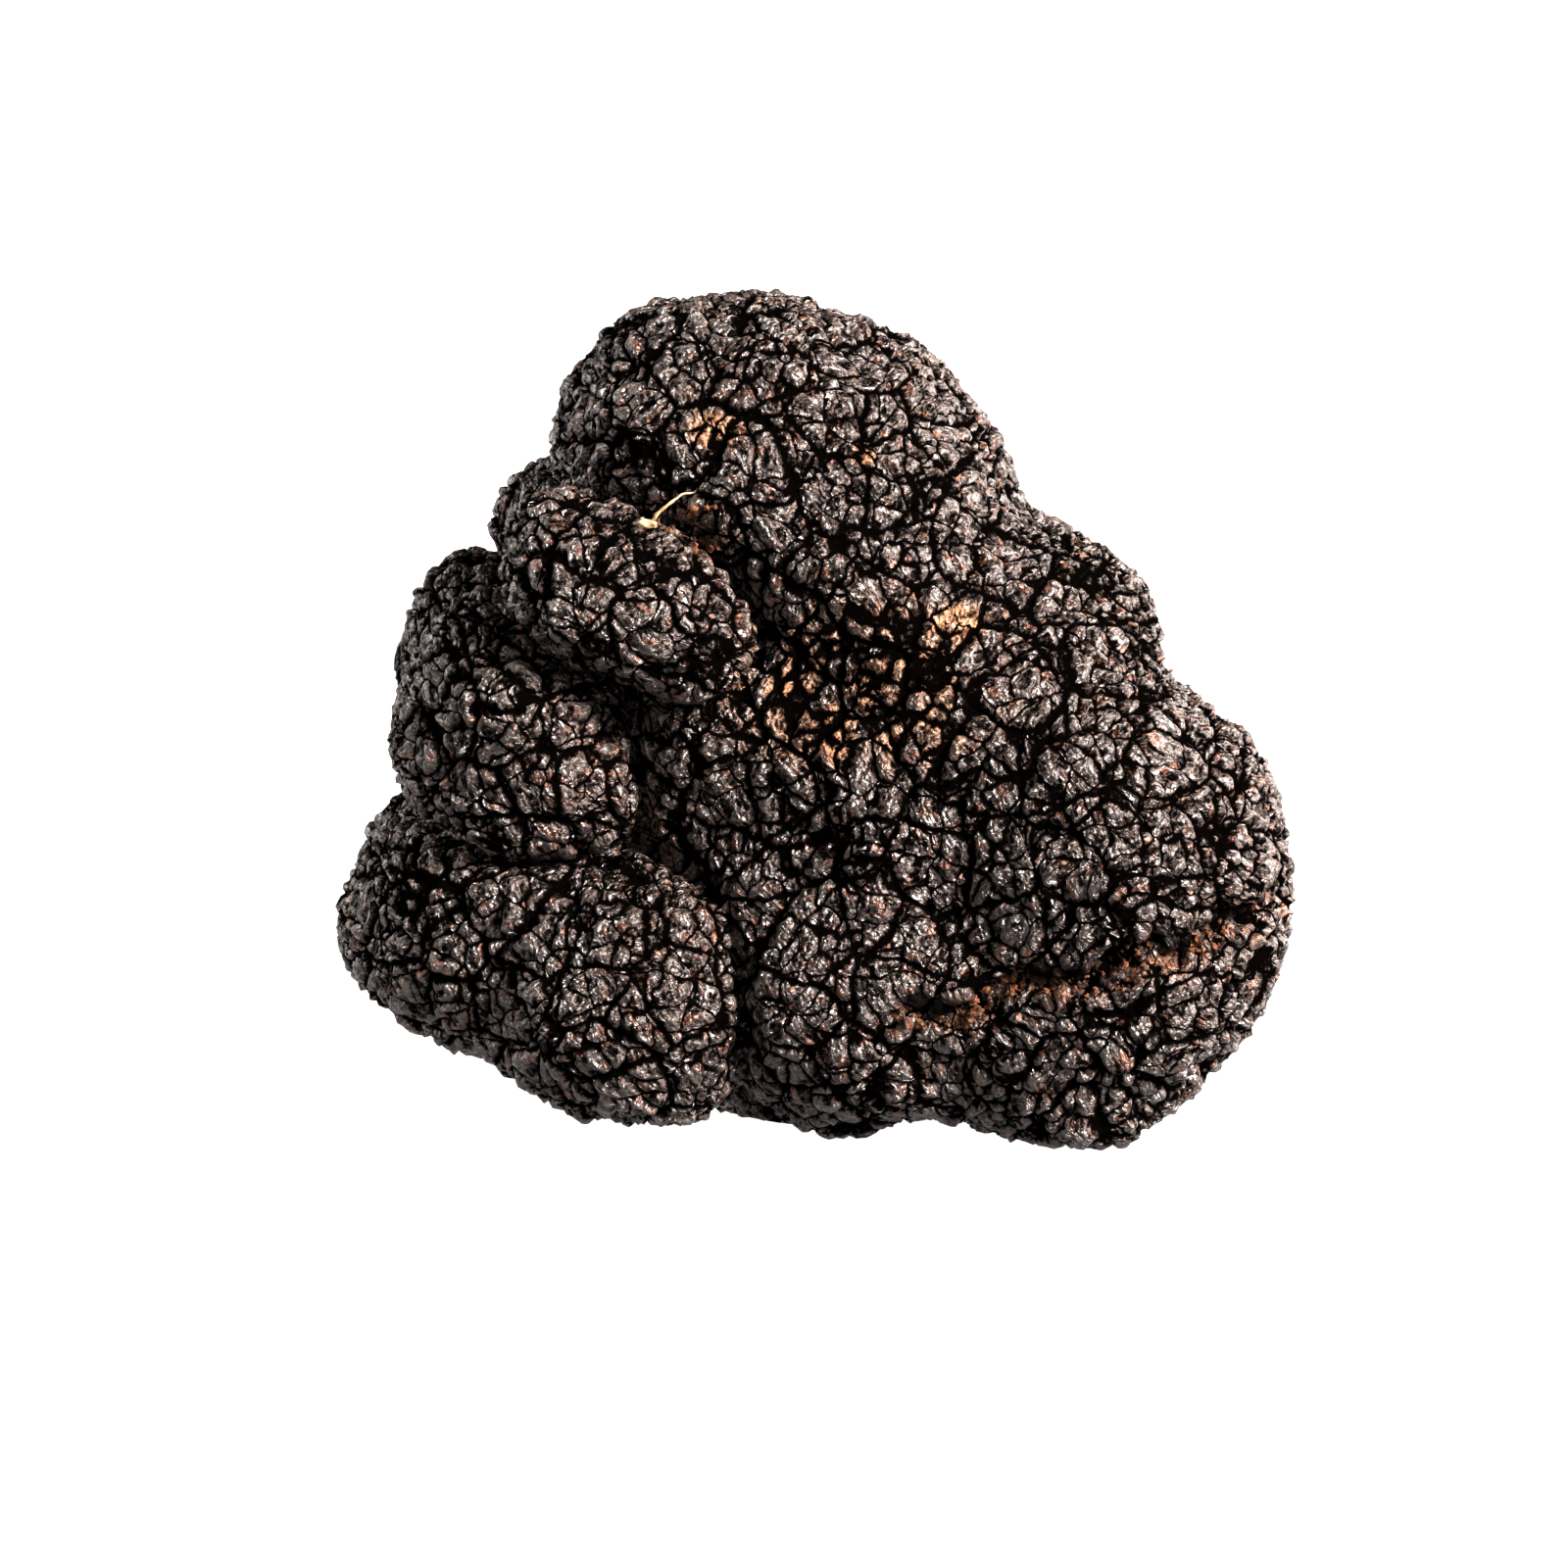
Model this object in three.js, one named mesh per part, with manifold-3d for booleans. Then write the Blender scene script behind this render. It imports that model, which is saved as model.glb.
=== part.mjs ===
// A whole black truffle. Its fruit body is one solid: rounded lobes pressed together, with creases where they
// meet, a skin covered by low polygonal pyramid warts, and a small flat spot underneath that it rests on.
// Millimetres, +Z up, +X to the right seen from the front, +Y towards the back. The origin is at the bottom,
// in the middle of the outline.

import * as THREE from "three";
import { ConvexHull } from "three/addons/math/ConvexHull.js";
import { mergeVertices } from "three/addons/utils/BufferGeometryUtils.js";
import Module from "manifold-3d";

// Driving dimensions of the fruit body
const SWELLING_BLEND = 1.8; // how softly the swellings of one lobe run into each other
const LOBE_BLEND = 0.45; // how softly one lobe meets the next
const CREASE_DEPTH = 0.9; // how far a crease is sunk between two lobes
const CREASE_WIDTH = 1.1; // half the width of a crease
const WAVE_HEIGHT = 0.45; // height of the slow unevenness of the lobes
const WAVE_LENGTH = 15; // distance over which that unevenness repeats
const WAVE_SHARE = 1.5; // the three crossed waves together reach about this many times one of them

// The three crossed waves: the axis each runs along, its rate, and the other axis that bends it
const WAVES = [
  { along: "x", rate: 1, bend: 1.7, bentBy: "y", bendRate: 0.55, phase: 0.5 },
  { along: "y", rate: 0.93, bend: 1.5, bentBy: "z", bendRate: 0.5, phase: 2 },
  { along: "z", rate: 0.97, bend: 1.6, bentBy: "x", bendRate: 0.45, phase: 4 },
];

// Driving dimensions of the skin
const WART_HEIGHT = 0.36; // tip of a wart above the mean surface
const GROOVE_DEPTH = 0.4; // edge of a wart below the mean surface
const FINE = 2.1; // distance between neighbouring warts on the crown and the small lobes
const MIDDLING = 2.35; // the same on the flanks
const BROAD = 2.75; // the same on the foot, whose skin is stretched
const WART_SEED = 1729;

// Middle of the finished outline, seen from above, in the coordinates of the lobes below
const OUTLINE_MIDDLE = [-0.31, 5.17];

// A point inside the body from which nearly the whole skin can be seen
const HEART = new THREE.Vector3(0, 3, 24);

const swelling = (middle, half, spacing = MIDDLING) => ({ middle, half, spacing });

// Each lobe is a few swellings that run into each other, with the middle and the half axes of each.
const LOBES = {
  crownAndFlank: [
    swelling([-6, 4, 50.8], [13.8, 13.3, 11.4], FINE),
    swelling([3.4, 4, 48], [9.6, 12, 10.2], FINE),
    swelling([0.6, 1.5, 43], [12.2, 13, 10.2], FINE),
    swelling([17, 2, 37], [7.6, 10, 7.2]),
    swelling([9.5, 1, 36.6], [10, 12, 7.8]),
    swelling([13.2, -3, 28.5], [11.8, 12.5, 11.5]),
    swelling([21.2, -4.5, 18.3], [14.4, 14.5, 16.4]),
    swelling([18, -6, 8], [9.6, 10.2, 8.2], BROAD),
    swelling([4.1, -5, 29], [9.5, 8.8, 8.8]),
    swelling([-7, -2.5, 30], [9.5, 9, 7.5]),
    swelling([1.3, 3, 21], [18, 15, 15.5]),
    swelling([3, -6, 12.5], [13, 10.8, 11.6]),
  ],
  knob: [
    swelling([-17.6, -9, 43.2], [5.6, 6, 5.6], FINE),
    swelling([-13.3, -10, 41.2], [5.3, 5.3, 4.8], FINE),
    swelling([-9, -10, 38.8], [4.7, 5, 4.3], FINE),
  ],
  cheek: [
    swelling([-22.4, -5, 33.8], [7.6, 8, 7.8], FINE),
    swelling([-20.8, -4, 27.6], [9.8, 8.8, 7.6], FINE),
  ],
  leftBack: [swelling([-22.6, 11, 33], [9.3, 9.4, 9.4], FINE)],
  leftNape: [swelling([-18.3, 11, 43], [6.9, 7.4, 6], FINE)],
  leftLow: [
    swelling([-24.6, 0, 15.5], [11, 12, 10.4]),
    swelling([-13.3, -8, 11.7], [10.4, 9.6, 10.2]),
    swelling([0.6, 6, 8.6], [15, 14, 11.5]),
  ],
  rightBack: [
    swelling([13.7, 16, 18.3], [14, 13, 14.5]),
    swelling([10.5, 15, 31], [11.5, 10.5, 9.5]),
  ],
  lowBack: [
    swelling([-14.7, 15, 14.6], [12.5, 12, 12.5]),
    swelling([-7.6, 18.5, 24], [11, 11, 11]),
  ],
  nape: [
    swelling([-3.5, 13, 36.5], [12, 11.5, 9.5], FINE),
    swelling([5, 20, 31.5], [8, 8, 8], FINE),
  ],
};

// Furrows that run across a lobe: a point on each, the direction across it, and how far it reaches.
const FURROWS = [
  { on: [21, -17, 14.6], across: [-0.29, 0, 0.957], depth: 1.3, width: 0.9, reach: 19 },
  { on: [12, 29, 20], across: [0.85, 0, 0.527], depth: 1.2, width: 1, reach: 15 },
];
const FURROW_WANDER = 0.6; // how far a furrow strays to either side
const FURROW_TURNS = 0.8; // how often it does so, in radians a millimetre

// How finely the skin is searched and settled
const TRIED_PLACES = 90000; // random places tried for a wart
const CREASE_MARGIN = 0.8; // no wart stands nearer to a crease than this
const SEARCH_REACH = 60; // a ray towards the skin starts this far from the heart
const SEARCH_STEPS = 80;
const STEP_SHARE = 0.75; // share of the distance found that one step goes, as that distance is rough
const NEAR_ENOUGH = 0.002;
const SLOPE_STEP = 0.02; // how far apart the two places are that a slope is taken between
const FAR_OFF = 30; // a form farther off than this no longer counts
const HAIR = 1e-9; // keeps a distance from being divided by zero
const FURROW_HOLD = 0.3; // a furrow weaker than this parts no warts
const SETTLE_ROUNDS = 12;
const FLIP_GAIN = 1e-6; // radians by which an edge must be worse before it is turned
const FLIP_MARGIN = 1e-5; // how clearly the faces beside a turned edge must face outwards
const FOLD_MARGIN = 1e-6; // how clearly a face must face outwards after a corner has moved
const DRAW_STEPS = 3; // steps in which a meeting place is drawn into a crease
const FLATTEST = 0.2; // least squared slope that such a step counts with
const SHARES = [1, 0.5, 0.25, 0]; // shares of a move that are tried, the largest first

const lobes = Object.values(LOBES);
const swellings = lobes.flat();

/** A repeatable source of random numbers from 0 to 1. */
function randomSource(seed) {
  let state = seed >>> 0;
  return () => {
    state = (state + 0x6d2b79f5) >>> 0;
    let mixed = Math.imul(state ^ (state >>> 15), state | 1);
    mixed ^= mixed + Math.imul(mixed ^ (mixed >>> 7), mixed | 61);
    return ((mixed ^ (mixed >>> 14)) >>> 0) / 2 ** 32;
  };
}

/** Rough signed distance from a point to a swelling, an ellipsoid, negative inside it. */
function swellingDistance({ middle, half }, p) {
  const x = (p.x - middle[0]) / half[0];
  const y = (p.y - middle[1]) / half[1];
  const z = (p.z - middle[2]) / half[2];
  const reach = Math.hypot(x, y, z);
  const slope = Math.hypot(x / half[0], y / half[1], z / half[2]) + HAIR;
  return (reach * (reach - 1)) / slope;
}

/** The smooth union of several distances: the larger the blend, the rounder the joint. */
function blended(distances, blend) {
  const sum = distances.reduce((total, d) => total + Math.exp(-Math.min(d, FAR_OFF) / blend), 0);
  return -blend * Math.log(sum);
}

function lobeDistance(lobe, p) {
  return blended(lobe.map((one) => swellingDistance(one, p)), SWELLING_BLEND);
}

/** Slow hills and hollows over the whole body, from three crossed waves that bend one another. */
function unevenness(p) {
  const turn = (2 * Math.PI) / WAVE_LENGTH;
  const [a, b, c] = WAVES.map(({ along, rate, bend, bentBy, bendRate, phase }) =>
    Math.sin(rate * turn * p[along] + bend * Math.sin(bendRate * turn * p[bentBy] + phase)),
  );
  return (WAVE_HEIGHT * (a * b + b * c + c * a)) / WAVE_SHARE;
}

/** How much a crease sinks the skin, from the distances to the two nearest lobes. */
function creaseSink(distances) {
  let [first, second] = [Infinity, Infinity];
  for (const d of distances) {
    if (d < first) [first, second] = [d, first];
    else if (d < second) second = d;
  }
  return CREASE_DEPTH * Math.exp(-(((second - first) / CREASE_WIDTH) ** 2));
}

/** How far a point lies to one side of a furrow's middle line. */
function sideOfFurrow({ on, across }, p) {
  const offset = across.reduce((sum, part, i) => sum + part * (p.getComponent(i) - on[i]), 0);
  return offset + FURROW_WANDER * Math.sin(FURROW_TURNS * (p.x + p.y));
}

/** How strong a furrow is at a point: 1 in its middle, falling to 0 past its reach. */
function furrowStrength({ on, reach }, p) {
  return Math.exp(-((Math.hypot(p.x - on[0], p.y - on[1], p.z - on[2]) / reach) ** 4));
}

function furrowSink(p) {
  return FURROWS.reduce((sum, furrow) => {
    const profile = Math.exp(-((sideOfFurrow(furrow, p) / furrow.width) ** 2));
    return sum + furrow.depth * profile * furrowStrength(furrow, p);
  }, 0);
}

/** Rough signed distance from a point to the mean surface of the skin, negative inside. */
function skinDistance(p) {
  const distances = lobes.map((lobe) => lobeDistance(lobe, p));
  return blended(distances, LOBE_BLEND) + creaseSink(distances) + furrowSink(p) - unevenness(p);
}

/** The outermost point of the skin along a direction from the heart. */
function skinAlong(direction) {
  let reach = SEARCH_REACH;
  const p = new THREE.Vector3();
  for (let step = 0; step < SEARCH_STEPS; step++) {
    p.copy(HEART).addScaledVector(direction, reach);
    const gap = skinDistance(p);
    if (Math.abs(gap) < NEAR_ENOUGH) break;
    reach -= gap * STEP_SHARE;
  }
  return p;
}

/** The direction in which a function of place grows fastest. */
function slopeOf(measure, p) {
  const slope = new THREE.Vector3();
  for (const axis of ["x", "y", "z"]) {
    const ahead = p.clone();
    const behind = p.clone();
    ahead[axis] += SLOPE_STEP;
    behind[axis] -= SLOPE_STEP;
    slope[axis] = (measure(ahead) - measure(behind)) / (2 * SLOPE_STEP);
  }
  return slope;
}

const directionOf = (p) => p.clone().sub(HEART).normalize();

/** The two lobes nearest to a point, nearest first, and how much farther the second one is. */
function nearestLobes(p) {
  const order = lobes.map((lobe) => ({ lobe, distance: lobeDistance(lobe, p) }));
  order.sort((one, other) => one.distance - other.distance);
  return { first: order[0].lobe, second: order[1].lobe, lead: order[1].distance - order[0].distance };
}

/** The distance that neighbouring warts keep at a point: that of the nearest swelling. */
function spacingAt(p) {
  const distances = swellings.map((one) => swellingDistance(one, p));
  return swellings[distances.indexOf(Math.min(...distances))].spacing;
}

const furrowsAt = (p) => FURROWS.filter((furrow) => furrowStrength(furrow, p) > FURROW_HOLD);

/** Whether a point is too near to a crease or a furrow for a wart to stand there. */
function atCrease(p, lead) {
  return lead < CREASE_MARGIN || furrowsAt(p).some((one) => Math.abs(sideOfFurrow(one, p)) < CREASE_MARGIN);
}

/** A coarse grid of the places already taken, to find quickly whether a new one is too close to them. */
class TakenPlaces {
  constructor(cell) {
    this.cell = cell;
    this.cells = new Map();
  }

  key(x, y, z) {
    return `${x},${y},${z}`;
  }

  corner(p) {
    return [p.x, p.y, p.z].map((value) => Math.floor(value / this.cell));
  }

  add(p) {
    const key = this.key(...this.corner(p));
    if (!this.cells.has(key)) this.cells.set(key, []);
    this.cells.get(key).push(p);
  }

  crowds(p, spacing) {
    const [i, j, k] = this.corner(p);
    for (const x of [i - 1, i, i + 1])
      for (const y of [j - 1, j, j + 1])
        for (const z of [k - 1, k, k + 1])
          if ((this.cells.get(this.key(x, y, z)) ?? []).some((other) => other.distanceTo(p) < spacing))
            return true;
    return false;
  }
}

/** The middles of the warts: random places on the skin, evenly crowded, clear of the creases. */
function scatterWarts() {
  const random = randomSource(WART_SEED);
  const taken = new TakenPlaces(BROAD);
  const warts = [];
  for (let i = 0; i < TRIED_PLACES; i++) {
    const height = 2 * random() - 1;
    const turn = 2 * Math.PI * random();
    const width = Math.sqrt(1 - height * height);
    const place = skinAlong(new THREE.Vector3(width * Math.cos(turn), width * Math.sin(turn), height));
    const { first, lead } = nearestLobes(place);
    if (atCrease(place, lead) || taken.crowds(place, spacingAt(place))) continue;
    taken.add(place);
    warts.push({ place, lobe: first });
  }
  return warts;
}

/** Positive if three directions from the heart run anticlockwise seen from outside. */
const turnOf = (a, b, c) => a.dot(new THREE.Vector3().crossVectors(b, c));

/**
 * The net of triangles between neighbouring warts. It is kept as a map from each directed edge, first wart to
 * second, to the third wart of the triangle on its left.
 */
class WartNet {
  constructor(places) {
    this.places = places;
    this.directions = places.map(directionOf);
    this.third = new Map();
    const numbers = new Map(this.directions.map((direction, i) => [direction, i]));
    for (const face of new ConvexHull().setFromPoints(this.directions).faces) {
      const corners = [face.edge, face.edge.next, face.edge.next.next];
      this.addTriangle(...corners.map((edge) => numbers.get(edge.head().point)));
    }
  }

  key(a, b) {
    return a * this.places.length + b;
  }

  ends(key) {
    return [Math.floor(key / this.places.length), key % this.places.length];
  }

  addTriangle(a, b, c) {
    this.third.set(this.key(a, b), c);
    this.third.set(this.key(b, c), a);
    this.third.set(this.key(c, a), b);
  }

  /** The angle that the edge from a to b is seen under from c. */
  angleAt(c, a, b) {
    const toA = this.places[a].clone().sub(this.places[c]);
    const toB = this.places[b].clone().sub(this.places[c]);
    return toA.angleTo(toB);
  }

  /** Turns the shared edge of two triangles where that makes them less pointed, and says whether it did. */
  flipped(a, b) {
    const c = this.third.get(this.key(a, b));
    const d = this.third.get(this.key(b, a));
    if (this.angleAt(c, a, b) + this.angleAt(d, a, b) <= Math.PI + FLIP_GAIN) return false;
    if (this.third.has(this.key(c, d)) || this.third.has(this.key(d, c))) return false;
    const [da, db, dc, dd] = [a, b, c, d].map((i) => this.directions[i]);
    if (turnOf(da, dd, dc) <= FLIP_MARGIN || turnOf(dd, db, dc) <= FLIP_MARGIN) return false;
    this.third.delete(this.key(a, b));
    this.third.delete(this.key(b, a));
    this.addTriangle(a, d, c);
    this.addTriangle(d, b, c);
    return true;
  }

  /** Turns edges until none is left that would be better the other way. */
  settle() {
    for (let round = 0; round < SETTLE_ROUNDS; round++) {
      let turned = 0;
      for (const key of [...this.third.keys()]) {
        const [a, b] = this.ends(key);
        if (a < b && this.third.has(key) && this.flipped(a, b)) turned++;
      }
      if (!turned) break;
    }
  }

  /** Every triangle once. */
  triangles() {
    const found = [];
    for (const [key, c] of this.third) {
      const [a, b] = this.ends(key);
      if (a < b && a < c) found.push([a, b, c]);
    }
    return found;
  }
}

/** A function of place that is zero along the crease or furrow that parts some warts, if one does. */
function partingOf(corners, middle) {
  if (new Set(corners.map(({ lobe }) => lobe)).size > 1) {
    const { first, second } = nearestLobes(middle);
    return (q) => lobeDistance(first, q) - lobeDistance(second, q);
  }
  const signs = (furrow) => new Set(corners.map(({ place }) => Math.sign(sideOfFurrow(furrow, place))));
  const furrow = furrowsAt(middle).find((one) => signs(one).size > 1);
  return furrow && ((q) => sideOfFurrow(furrow, q));
}

/** Where three neighbouring warts meet: in the middle between them, or in the crease that parts them. */
function meetingPlace(corners) {
  const middle = new THREE.Vector3();
  for (const { place } of corners) middle.addScaledVector(place, 1 / corners.length);
  const onSkin = skinAlong(directionOf(middle));
  const parting = partingOf(corners, onSkin);
  if (!parting) return onSkin;
  const moved = onSkin.clone();
  for (let step = 0; step < DRAW_STEPS; step++) {
    const slope = slopeOf(parting, moved);
    moved.addScaledVector(slope, -parting(moved) / Math.max(slope.lengthSq(), FLATTEST));
  }
  const drawn = skinAlong(directionOf(moved));
  return drawn.distanceTo(onSkin) < FINE ? drawn : onSkin;
}

/** A skin point moved along the outward slope, or less far if that would fold the faces round it. */
function displaced(p, distance, keepsOrder) {
  const outward = slopeOf(skinDistance, p).normalize();
  for (const share of SHARES) {
    const moved = p.clone().addScaledVector(outward, distance * share);
    if (keepsOrder(directionOf(moved))) return moved;
  }
  return p;
}

/** The skin as one closed mesh: every wart is a low pyramid over the places where it meets its neighbours. */
function wartedSkin() {
  const warts = scatterWarts();
  const net = new WartNet(warts.map(({ place }) => place));
  net.settle();
  const vertices = warts.map(({ place }) => place);
  const rimOf = new Map();
  for (const [a, b, c] of net.triangles()) {
    const rim = vertices.push(meetingPlace([a, b, c].map((i) => warts[i]))) - 1;
    for (const [from, to] of [[a, b], [b, c], [c, a]]) rimOf.set(net.key(from, to), rim);
  }
  const faces = [];
  for (const [key, left] of rimOf) {
    const [a, b] = net.ends(key);
    faces.push([a, rimOf.get(net.key(b, a)), left]);
  }
  raiseWarts(vertices, faces, warts.length);
  return closedGeometry(vertices, faces);
}

/** Lifts the tips of the warts and sinks their edges, with every face still turned outwards. */
function raiseWarts(vertices, faces, wartCount) {
  const around = vertices.map(() => []);
  for (const face of faces) for (const corner of face) around[corner].push(face);
  const directions = vertices.map(directionOf);
  vertices.forEach((vertex, i) => {
    const turned = (face, direction) => turnOf(...face.map((j) => (j === i ? direction : directions[j])));
    const keepsOrder = (direction) => around[i].every((face) => turned(face, direction) > FOLD_MARGIN);
    vertices[i] = displaced(vertex, i < wartCount ? WART_HEIGHT : -GROOVE_DEPTH, keepsOrder);
    directions[i] = directionOf(vertices[i]);
  });
}

function closedGeometry(vertices, faces) {
  const geometry = new THREE.BufferGeometry().setFromPoints(vertices);
  return geometry.setIndex(faces.flat());
}

/** A closed geometry as a solid that can be joined and cut. */
function solidOf(wasm, geometry) {
  const bare = geometry.clone();
  bare.deleteAttribute("normal");
  bare.deleteAttribute("uv");
  const merged = mergeVertices(bare);
  const vertProperties = merged.attributes.position.array;
  const triVerts = new Uint32Array(merged.index.array);
  return new wasm.Manifold(new wasm.Mesh({ numProp: 3, vertProperties, triVerts }));
}

/** The body with everything below the resting plane cut away. */
function restingBody(wasm, skin) {
  const block = new THREE.BoxGeometry(2 * SEARCH_REACH, 2 * SEARCH_REACH, SEARCH_REACH);
  block.translate(0, 0, -SEARCH_REACH / 2);
  const cut = solidOf(wasm, skin).subtract(solidOf(wasm, block)).getMesh();
  const geometry = new THREE.BufferGeometry();
  geometry.setAttribute("position", new THREE.BufferAttribute(cut.vertProperties, 3));
  return geometry.setIndex(new THREE.BufferAttribute(cut.triVerts, 1));
}

const wasm = await Module();
wasm.setup();

const truffleSkin = new THREE.MeshStandardMaterial({
  color: 0x2b241f,
  roughness: 0.6,
  metalness: 0,
  flatShading: true,
});

const truffle = new THREE.Mesh(restingBody(wasm, wartedSkin()), truffleSkin);
truffle.name = "truffle";
truffle.position.set(-OUTLINE_MIDDLE[0], -OUTLINE_MIDDLE[1], 0);

const part = new THREE.Group();
part.name = "black_truffle";
part.add(truffle);

export default part;
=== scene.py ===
"""Dresses the black truffle: its warted skin, the soil in its furrows and one dry root fibre."""

import logging
import math
from collections.abc import Callable, Mapping, Sequence
from concurrent.futures import ThreadPoolExecutor
from dataclasses import dataclass, field
from enum import Enum
from typing import Any

import bmesh
import bpy
import numpy as np
from mathutils import Matrix, Vector
from mathutils.bvhtree import BVHTree

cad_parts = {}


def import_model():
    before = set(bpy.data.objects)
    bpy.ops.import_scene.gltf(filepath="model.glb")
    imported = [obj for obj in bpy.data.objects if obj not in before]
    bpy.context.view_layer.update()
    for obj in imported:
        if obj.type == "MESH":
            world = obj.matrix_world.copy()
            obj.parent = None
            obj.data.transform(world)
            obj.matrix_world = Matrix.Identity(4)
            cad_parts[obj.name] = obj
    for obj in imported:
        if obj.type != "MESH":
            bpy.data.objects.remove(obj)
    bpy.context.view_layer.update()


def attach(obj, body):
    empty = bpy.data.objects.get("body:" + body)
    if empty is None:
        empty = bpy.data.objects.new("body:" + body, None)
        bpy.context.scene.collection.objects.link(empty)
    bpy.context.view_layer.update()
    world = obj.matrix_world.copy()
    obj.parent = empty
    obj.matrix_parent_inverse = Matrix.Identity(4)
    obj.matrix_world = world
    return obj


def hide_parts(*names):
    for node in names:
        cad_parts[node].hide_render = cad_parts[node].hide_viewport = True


LOG = logging.getLogger("truffle")
MM = 0.001
# The lobes are laid out in their own frame, in mm, and the part stands this far from it.
PART_SHIFT = (0.31, -5.17, 0.0)
SKIN_PLACE = "skin_place"
WART_HEIGHT = "wart_height"

Triple = tuple[float, float, float]


# The body of the truffle.


@dataclass(frozen=True)
class Swelling:
    """One rounded bulge of a lobe, an ellipsoid.

    Attributes:
        middle: its middle, in mm, in the lobes' frame.
        half: its half sizes along X, Y and Z, in mm.
    """

    middle: Triple
    half: Triple


@dataclass(frozen=True)
class Furrow:
    """A groove that runs round a part of the skin.

    Attributes:
        on: a point that the groove passes through, in mm.
        across: the direction across the groove.
        depth: how deep it is, in mm.
        width: how wide it is, in mm.
        reach: how far from the point it fades out, in mm.
    """

    on: Triple
    across: Triple
    depth: float
    width: float
    reach: float


LOBES: Mapping[str, tuple[Swelling, ...]] = {
    "crown_and_flank": (
        Swelling((-6, 4, 50.8), (13.8, 13.3, 11.4)),
        Swelling((3.4, 4, 48), (9.6, 12, 10.2)),
        Swelling((0.6, 1.5, 43), (12.2, 13, 10.2)),
        Swelling((17, 2, 37), (7.6, 10, 7.2)),
        Swelling((9.5, 1, 36.6), (10, 12, 7.8)),
        Swelling((13.2, -3, 28.5), (11.8, 12.5, 11.5)),
        Swelling((21.2, -4.5, 18.3), (14.4, 14.5, 16.4)),
        Swelling((18, -6, 8), (9.6, 10.2, 8.2)),
        Swelling((4.1, -5, 29), (9.5, 8.8, 8.8)),
        Swelling((-7, -2.5, 30), (9.5, 9, 7.5)),
        Swelling((1.3, 3, 21), (18, 15, 15.5)),
        Swelling((3, -6, 12.5), (13, 10.8, 11.6)),
    ),
    "knob": (
        Swelling((-17.6, -9, 43.2), (5.6, 6, 5.6)),
        Swelling((-13.3, -10, 41.2), (5.3, 5.3, 4.8)),
        Swelling((-9, -10, 38.8), (4.7, 5, 4.3)),
    ),
    "cheek": (
        Swelling((-22.4, -5, 33.8), (7.6, 8, 7.8)),
        Swelling((-20.8, -4, 27.6), (9.8, 8.8, 7.6)),
    ),
    "left_back": (Swelling((-22.6, 11, 33), (9.3, 9.4, 9.4)),),
    "left_nape": (Swelling((-18.3, 11, 43), (6.9, 7.4, 6)),),
    "left_low": (
        Swelling((-24.6, 0, 15.5), (11, 12, 10.4)),
        Swelling((-13.3, -8, 11.7), (10.4, 9.6, 10.2)),
        Swelling((0.6, 6, 8.6), (15, 14, 11.5)),
    ),
    "right_back": (
        Swelling((13.7, 16, 18.3), (14, 13, 14.5)),
        Swelling((10.5, 15, 31), (11.5, 10.5, 9.5)),
    ),
    "low_back": (
        Swelling((-14.7, 15, 14.6), (12.5, 12, 12.5)),
        Swelling((-7.6, 18.5, 24), (11, 11, 11)),
    ),
    "nape": (
        Swelling((-3.5, 13, 36.5), (12, 11.5, 9.5)),
        Swelling((5, 20, 31.5), (8, 8, 8)),
    ),
}

GROOVE = Furrow(on=(21, -17, 15.9), across=(-0.29, 0, 0.957), depth=1.3, width=0.9, reach=19)
BACK_FURROW = Furrow(on=(12, 29, 20), across=(0.85, 0, 0.527), depth=1.2, width=1.0, reach=15)


@dataclass(frozen=True)
class Wave:
    """One of the three crossing waves of the slow unevenness.

    Attributes:
        along: the axis that it runs along.
        rate: its rate against the base rate.
        bend: how far the other axis bends it.
        bend_rate: the rate of that bend against the base rate.
        bend_axis: the axis that bends it.
        phase: where the bend starts.
    """

    along: int
    rate: float
    bend: float
    bend_rate: float
    bend_axis: int
    phase: float


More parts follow.
